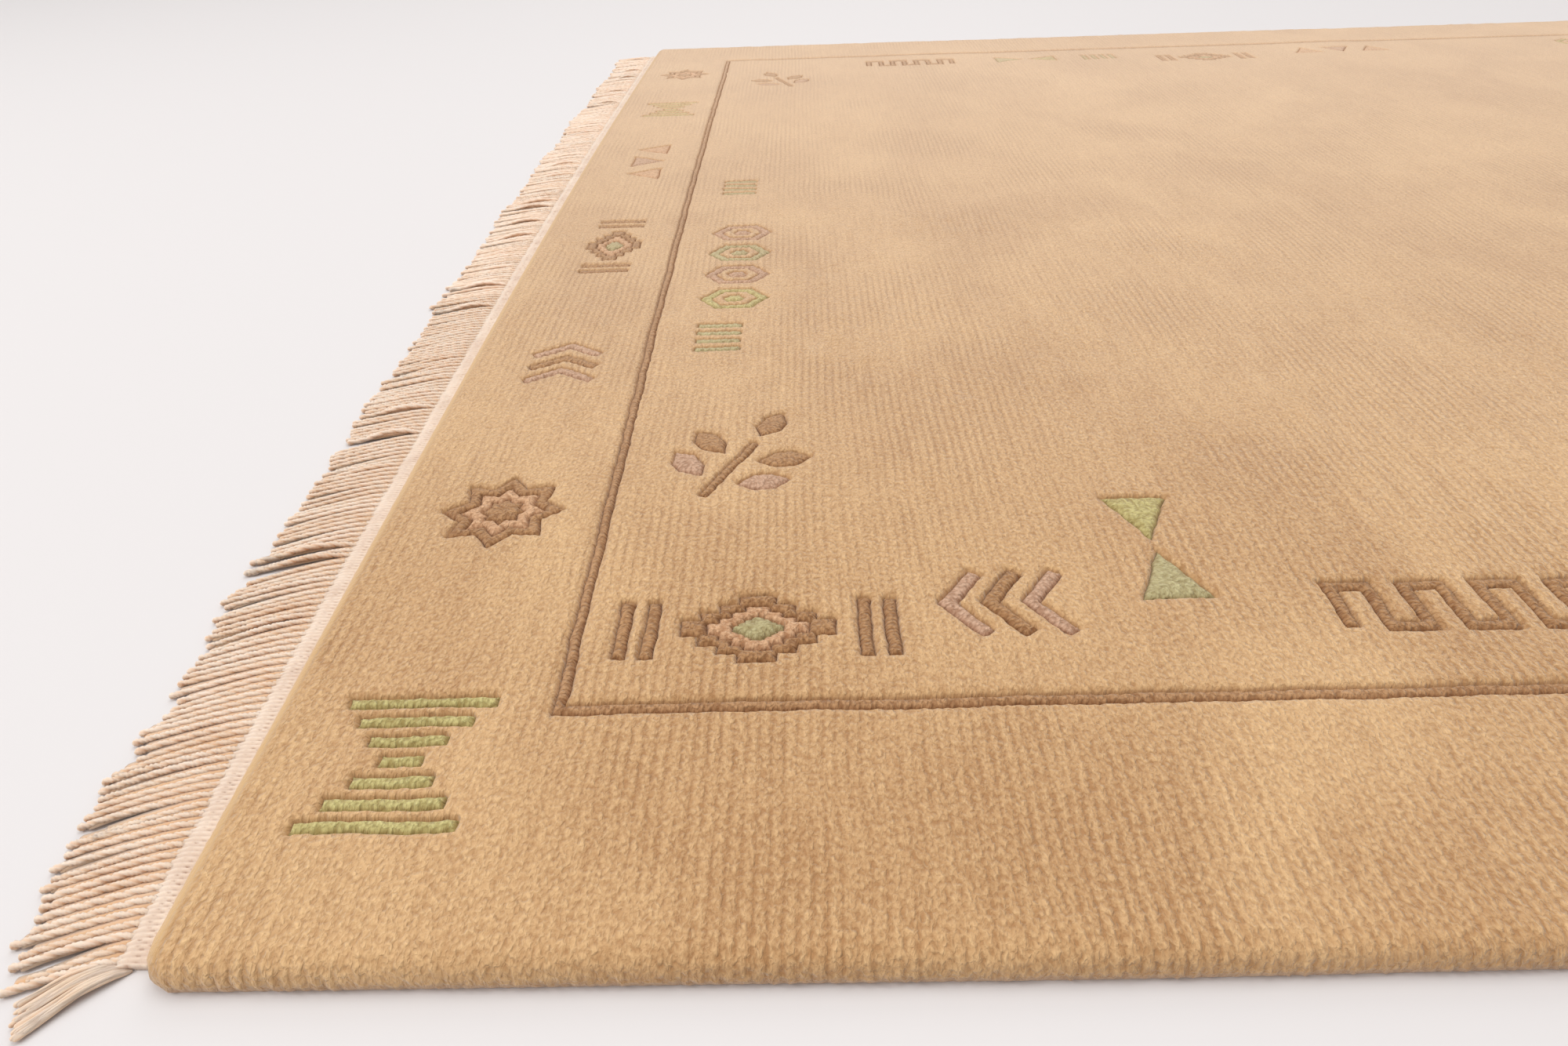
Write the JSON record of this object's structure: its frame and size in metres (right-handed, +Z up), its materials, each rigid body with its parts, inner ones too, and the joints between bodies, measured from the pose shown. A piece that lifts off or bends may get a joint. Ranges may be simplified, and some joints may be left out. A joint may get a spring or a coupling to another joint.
{
  "type": "nepalese rug",
  "caption": "Hand-knotted wool rug lying flat, with a thin framed field of sparse carved geometric motifs, flat-woven end strips and twisted cotton fringes.",
  "frame": {"origin": "on the floor, under the middle of the rug", "axes": "+X along the rug's length, from one fringe to the other; +Y across it, away from the side that is nearest in the picture; +Z up out of the pile"},
  "size_m": [1.938, 1.2482, 0.01],
  "materials": {
    "pile_wool": "cut and carved hand-knotted wool pile, amber beige with soft colour changes from row to row",
    "cotton": "undyed cotton, flat-woven at the strip and twisted in the fringe"
  },
  "bodies": {
    "root": {"pile": "pile_wool", "fringe_left": "cotton", "fringe_right": "cotton"}
  },
  "joints": []
}
